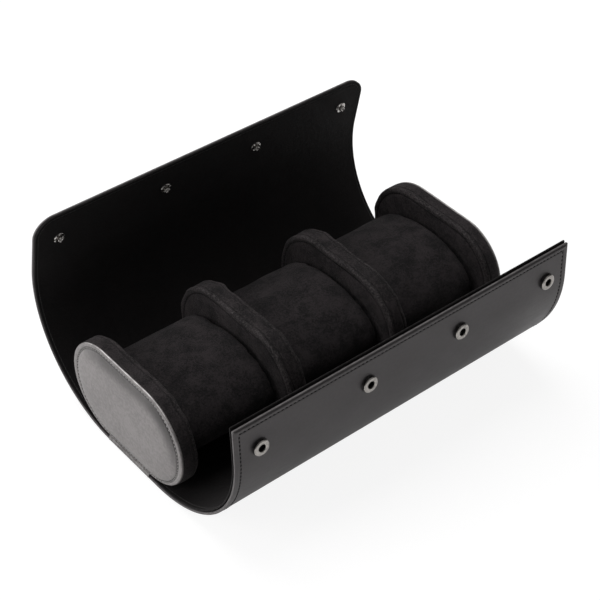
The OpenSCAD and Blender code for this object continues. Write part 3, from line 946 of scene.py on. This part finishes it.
sockets, eyelets = snapPlaces(frontRun, wallThick, False), snapPlaces(frontRun, 0, True)
studs, caps = snapPlaces(rearRun, 0, True), snapPlaces(rearRun, wallThick, False)
frontTop, rearTop = "front_panel_4", "rear_panel_4"
lathe("socket_barrels", barrelProfile, sockets, shadedBarrelMetal, frontTop, "snap_sockets")
lathe("socket_rings", ringProfile, sockets, snapMetal, frontTop, "snap_sockets")
lathe("eyelet_flanges", eyeletProfile, eyelets, snapMetal, frontTop, "snap_eyelets")
lathe("stud_flanges", flangeProfile, studs, studMetal, rearTop, "snap_studs", flangeLobes)
lathe("stud_posts", postProfile, studs, studMetal, rearTop, "snap_studs", postLobes)
lathe("cap_domes", capProfile, caps, snapMetal, rearTop, "snap_caps")
springs = frame["nodes"]["snap_springs"]
springs.data.materials.clear()
springs.data.materials.append(wireMetal)
print("snaps made")


# tabs that tie the discs to the wall's edge
tabShape = {"thick": 0.6, "pressed": 0.5, "above": 0.7, "bend": 1.1, "round": 0.5}
# stitches along the wall's edge, and a short upright row at each end of the strip
tabSeam = {
    "rowHeight": 2.2, "rowFrom": 1.6, "rowPitch": 2.4, "rowRadius": 0.2, "endFrom": 0.9,
    "endHeights": (0.9, 4.0), "endPitch": 1.6, "endRadius": 0.24}


def tabStitches(x, y, z, sign, pitch, radius):
    # stitches on the outside of a tab, along a line of y and z
    line = np.stack(np.broadcast_arrays(x, y, z), -1)
    return stitchAlong(line, np.tile([sign, 0, 0], (len(line), 1)), radius, pitch)


def makeTab(end, sign):
    # a strip from the disc along the lining, then round and down the wall's edge
    low, high = boxOf(f"{end}_tab")
    thick, bend, quarter = tabShape["thick"], tabShape["bend"], math.pi / 2
    outer = max(abs(low[0]), abs(high[0])) - tabShape["pressed"] - thick / 2
    top, low[2] = high[2] - thick / 2, low[2] + tabShape["above"]
    inner = min(abs(low[0]), abs(high[0]))
    lead, drop = outer - bend - inner, top - bend - low[2]
    length = lead + bend * quarter + drop
    v = np.concatenate([np.linspace(0, lead, 5)[:-1], np.linspace(lead, lead + bend * quarter, 9)[:-1],
                        np.linspace(lead + bend * quarter, length, 12)])
    margin = np.array([0, 0.08, 0.2, 0.4, 0.7])
    y = np.concatenate([low[1] + margin, np.linspace(low[1] + 1, high[1] - 1, 60), (high[1] - margin)[::-1]])
    y, v = np.meshgrid(y, v)
    angle = np.clip((v - lead) / bend, 0, quarter)
    past = np.maximum(v - lead - bend * quarter, 0)
    before = np.minimum(v, lead)

    def placed(depth):
        x = inner + before + (bend + depth) * np.sin(angle)
        z = top - bend + (bend + depth) * np.cos(angle) - past
        return np.stack([sign * x, y, z], -1)

    edge = np.minimum(np.minimum(y - low[1], high[1] - y), np.minimum(v + 0.3, length - v))
    half = thick / 2 * rounded(edge, tabShape["round"], 0.25)
    # rim paints a highlight along the strip's edges
    rim = unit(1 - edge / 0.6)
    piece = shellPiece(f"{end}_strip", placed(half), placed(-half), (y, v), rim, 0 * rim)
    dress(piece, litStripLeather, "root", [f"{end}_tab"])
    seam, face = tabSeam, sign * (outer + thick / 2)
    row = np.linspace(low[1] + seam["rowFrom"], high[1] - seam["rowFrom"], 90)
    rows = [tabStitches(face, row, seam["rowHeight"], sign, seam["rowPitch"], seam["rowRadius"])]
    for y in (low[1] + seam["endFrom"], high[1] - seam["endFrom"]):
        upright = np.linspace(*seam["endHeights"], 20)
        rows.append(tabStitches(face, y, upright, sign, seam["endPitch"], seam["endRadius"]))
    dress(threadPiece(f"{end}_strip_seam", np.concatenate(rows)), paleThread, "root")


for end, sign in (("left", -1), ("right", 1)):
    makeTab(end, sign)
print("tabs made")


floorShape = {"size": 8, "grey": 0.8, "seen": (0.2, 0.88), "mirrored": (0.8, 0.35)}


def makeFloor():
    # the camera and shiny faces see a lit floor of a (grey, glow), everything else a matte one
    bpy.ops.mesh.primitive_plane_add(size=floorShape["size"], location=(0, 0, 0))
    floor = bpy.context.object
    floor.name = "floor"
    paint = Paint(bpy.data.materials.new("paleFloor"))

    def matte(grey):
        return paint.node("ShaderNodeBsdfDiffuse", {}, {"Color": (grey, grey, grey, 1)})

    def lit(grey, glow):
        light = paint.node("ShaderNodeEmission", {}, {"Color": (1, 1, 1, 1), "Strength": glow})
        return paint.node("ShaderNodeAddShader", {}, {0: matte(grey), 1: light})

    shader = matte(floorShape["grey"])
    for ray, look in (("Is Camera Ray", "seen"), ("Is Glossy Ray", "mirrored")):
        factor = paint.node("ShaderNodeLightPath", {}, {}, ray)
        shader = paint.node("ShaderNodeMixShader", {}, {0: factor, 1: shader, 2: lit(*floorShape[look])})
    floor.data.materials.append(paint.finished(shader))


def makeWorld(strength):
    # a soft fill on the object, and white where the camera looks past it
    paint = Paint(bpy.data.worlds.new("studio"))
    ray = paint.node("ShaderNodeLightPath", {}, {}, "Is Camera Ray")
    fill, back = (paint.node("ShaderNodeBackground", {}, {"Color": (1, 1, 1, 1), "Strength": glow})
                  for glow in (strength, 1.0))
    mix = paint.node("ShaderNodeMixShader", {}, {0: ray, 1: fill, 2: back})
    bpy.context.scene.world = paint.finished(mix, "ShaderNodeOutputWorld")


lamps = {"sideLamp": {"place": (-1.2, 0.45, 0.5), "target": (0, 0, 0.05), "size": 0.9, "power": 10.5},
         "topLamp": {"place": (0.0, 0.5, 1.3), "target": (0, 0, 0.03), "size": 1.2, "power": 14},
         "frontLamp": {"place": (0.5, -1.3, 0.9), "target": (0, 0, 0.05), "size": 1.0, "power": 0.8}}


def addLamp(name, look):
    lamp = bpy.data.lights.new(name, "AREA")
    lamp.shape, lamp.size, lamp.size_y, lamp.energy = "RECTANGLE", look["size"], look["size"], look["power"]
    holder = newObject(name, lamp)
    holder.location = look["place"]
    aim = Vector(look["target"]) - Vector(look["place"])
    holder.rotation_euler = aim.to_track_quat("-Z", "Y").to_euler()


cameraView = {
    "place": (-0.5195, -0.6129, 0.7592), "focal": 1655.75, "image": 600,
    "right": (0.76975, -0.63810, 0.01783), "up": (0.40845, 0.51379, 0.75444),
    "back": (-0.49057, -0.57345, 0.65612)}


def makeCamera(view):
    camera = bpy.data.cameras.new("camera")
    camera.sensor_width = 36
    camera.lens = view["focal"] * camera.sensor_width / view["image"]
    camera.clip_start, camera.clip_end = 0.01, 20
    holder = newObject("camera", camera)
    axes = Matrix([view["right"], view["up"], view["back"]]).transposed().to_4x4()
    holder.matrix_world = Matrix.Translation(view["place"]) @ axes
    bpy.context.scene.camera = holder


makeFloor()
makeWorld(0.2)
for name, look in lamps.items():
    addLamp(name, look)
makeCamera(cameraView)
bpy.context.scene.view_settings.view_transform = "Standard"
print("stage, lamps and camera made")
